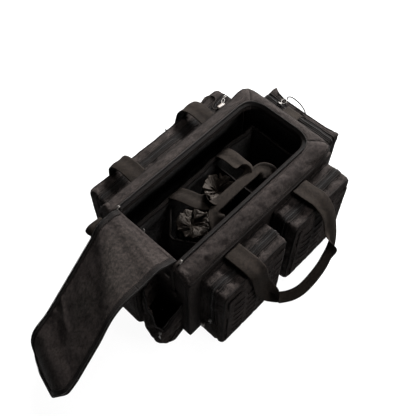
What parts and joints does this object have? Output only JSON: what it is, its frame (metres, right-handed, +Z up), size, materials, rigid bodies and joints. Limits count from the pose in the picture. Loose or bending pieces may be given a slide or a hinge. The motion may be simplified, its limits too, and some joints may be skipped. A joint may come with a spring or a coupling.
{
  "type": "soft gear bag with lift-out tote",
  "caption": "Large black soft carry bag with a zipped fold-back lid, outer pockets, webbing carry handles and a lift-out tote.",
  "frame": {"origin": "middle of the underside of the base panel", "axes": "+X along the bag from the lid hinge end to the far end, -Y towards the two front pouches, +Z up"},
  "size_m": [0.8478, 0.5373, 0.3182],
  "materials": {
    "nylon": "heathered woven nylon, matte",
    "webbing": "ribbed nylon webbing",
    "zipper": "coil zipper and tape",
    "lining": "matte lining, blue-black",
    "satin": "satin nylon with a soft shine",
    "metal": "nickel-plated die casting",
    "board": "matte stiffener sheet",
    "cord": "braided cord",
    "cord_lock": "moulded plastic"
  },
  "bodies": {
    "bag": {"base_panel": "nylon", "base_board": "board", "front_wall": "nylon", "back_wall": "nylon", "near_wall": "nylon", "far_wall": "nylon", "front_shoulder": "nylon", "back_shoulder": "nylon", "far_rim": "nylon", "main_zipper_track": "zipper", "front_pouch_near": "nylon", "front_pouch_far": "nylon", "slotted_panel_near": "webbing", "slotted_panel_far": "webbing", "front_pouch_near_zipper": "zipper", "front_pouch_far_zipper": "zipper", "back_pocket": "nylon", "back_pocket_zipper": "zipper", "far_end_pocket": "nylon", "far_end_zipper": "zipper", "far_end_tab": "webbing", "near_end_pocket": "nylon", "corner_tab": "webbing"},
    "lid_root": {"lid_hinge_panel": "nylon"},
    "lid_bend": {"lid_bend_panel": "nylon"},
    "lid_main": {"lid_main_panel": "nylon"},
    "lid_tip": {"lid_tip_panel": "nylon"},
    "front_handle": {"front_handle": "webbing"},
    "back_handle": {"back_handle": "webbing"},
    "main_slider_front": {"main_slider_front": "metal", "main_pull_front": "webbing"},
    "main_slider_back": {"main_slider_back": "metal", "main_pull_back": "webbing"},
    "pouch_slider_near": {"front_pouch_near_slider": "metal", "pouch_cord": "cord", "pouch_cord_lock": "cord_lock"},
    "pouch_slider_far": {"front_pouch_far_slider": "metal"},
    "back_slider": {"back_pocket_slider": "metal", "back_cord_lock": "cord_lock", "back_cord": "cord", "back_cord_end": "cord"},
    "far_end_slider": {"far_end_slider": "metal"},
    "far_end_pull": {"far_end_ring": "metal", "far_end_cord": "cord"},
    "near_pocket_flap": {"near_pocket_front": "nylon", "near_pocket_cheek": "nylon"},
    "near_pocket_slider": {"near_pocket_slider": "metal"},
    "tote": {"tote_floor": "lining", "tote_front_wall": "lining", "tote_back_wall": "lining", "tote_near_wall": "lining", "tote_far_wall": "lining", "tote_divider_near": "lining", "tote_divider_far": "lining"},
    "tote_handle_back": {"tote_handle_back": "webbing"},
    "tote_handle_front": {"tote_handle_front": "webbing"},
    "satin_near": {"satin_pouch_near": "satin", "drawstring_near": "cord"},
    "satin_far": {"satin_pouch_far": "satin", "drawstring_far": "cord"}
  },
  "joints": [
    {"name": "lid_hinge", "type": "hinge", "parent": "bag", "child": "lid_root", "pos_m": [-0.21, 0, 0.292], "axis": [0, 1, 0], "range_deg": [0, 152]},
    {"name": "lid_fold_1", "type": "hinge", "parent": "lid_root", "child": "lid_bend", "pos_m": [-0.24443, 0, 0.31031], "axis": [0.1782, 0.9794, -0.0948], "range_deg": [0, 30.5]},
    {"name": "lid_fold_2", "type": "hinge", "parent": "lid_bend", "child": "lid_main", "pos_m": [-0.31188, -0.00185, 0.30817], "axis": [0.5378, 0.8403, -0.068], "range_deg": [0, 32]},
    {"name": "lid_fold_3", "type": "hinge", "parent": "lid_main", "child": "lid_tip", "pos_m": [-0.50938, -0.03323, 0.20505], "axis": [0.2772, 0.9244, -0.262], "range_deg": [0, 41]},
    {"name": "front_handle_swing", "type": "hinge", "parent": "bag", "child": "front_handle", "pos_m": [0, -0.1315, 0.258], "axis": [-1, 0, 0], "range_deg": [0, 85]},
    {"name": "back_handle_swing", "type": "hinge", "parent": "bag", "child": "back_handle", "pos_m": [0, 0.1315, 0.258], "axis": [1, 0, 0], "range_deg": [0, 85]},
    {"name": "main_slider_front_slide", "type": "slide", "parent": "bag", "child": "main_slider_front", "axis": [1, 0, 0], "range_m": [0, 0.345], "deforming": ["main_pull_front"]},
    {"name": "main_slider_back_slide", "type": "slide", "parent": "bag", "child": "main_slider_back", "axis": [1, 0, 0], "range_m": [0, 0.345], "deforming": ["main_pull_back"]},
    {"name": "pouch_slider_near_slide", "type": "slide", "parent": "bag", "child": "pouch_slider_near", "axis": [0, 0, 1], "range_m": [0, 0.115]},
    {"name": "pouch_slider_far_slide", "type": "slide", "parent": "bag", "child": "pouch_slider_far", "axis": [0, 0, 1], "range_m": [0, 0.115]},
    {"name": "back_slider_slide", "type": "slide", "parent": "bag", "child": "back_slider", "axis": [-1, 0, 0], "range_m": [0, 0.33]},
    {"name": "far_end_slider_slide", "type": "slide", "parent": "bag", "child": "far_end_slider", "axis": [0, 1, 0], "range_m": [0, 0.028]},
    {"name": "far_end_ring_flip", "type": "hinge", "parent": "far_end_slider", "child": "far_end_pull", "pos_m": [0.273, 0.052, 0.2364], "axis": [0, -1, 0], "range_deg": [0, 75]},
    {"name": "near_pocket_swing", "type": "hinge", "parent": "bag", "child": "near_pocket_flap", "pos_m": [-0.2262, 0, 0.0075], "axis": [0, 1, 0], "range_deg": [0, 15]},
    {"name": "near_pocket_slide", "type": "slide", "parent": "near_pocket_flap", "child": "near_pocket_slider", "axis": [0, 0, 1], "range_m": [0, 0.05]},
    {"name": "tote_lift", "type": "slide", "parent": "bag", "child": "tote", "axis": [0, 0, 1], "range_m": [0, 0.3]},
    {"name": "tote_handle_back_swing", "type": "hinge", "parent": "tote", "child": "tote_handle_back", "pos_m": [0, 0.064, 0.222], "axis": [-1, 0, 0], "range_deg": [0, 80]},
    {"name": "tote_handle_front_swing", "type": "hinge", "parent": "tote", "child": "tote_handle_front", "pos_m": [0, -0.064, 0.222], "axis": [1, 0, 0], "range_deg": [0, 60]},
    {"name": "satin_near_lift", "type": "slide", "parent": "tote", "child": "satin_near", "axis": [0, 0, 1], "range_m": [0, 0.022]},
    {"name": "satin_far_lift", "type": "slide", "parent": "tote", "child": "satin_far", "axis": [0, 0, 1], "range_m": [0, 0.022]}
  ],
  "couplings": [
    {"joint": "lid_fold_1", "follows": "lid_hinge", "ratio": 0.2},
    {"joint": "lid_fold_2", "follows": "lid_hinge", "ratio": 0.21},
    {"joint": "lid_fold_3", "follows": "lid_hinge", "ratio": 0.269}
  ]
}
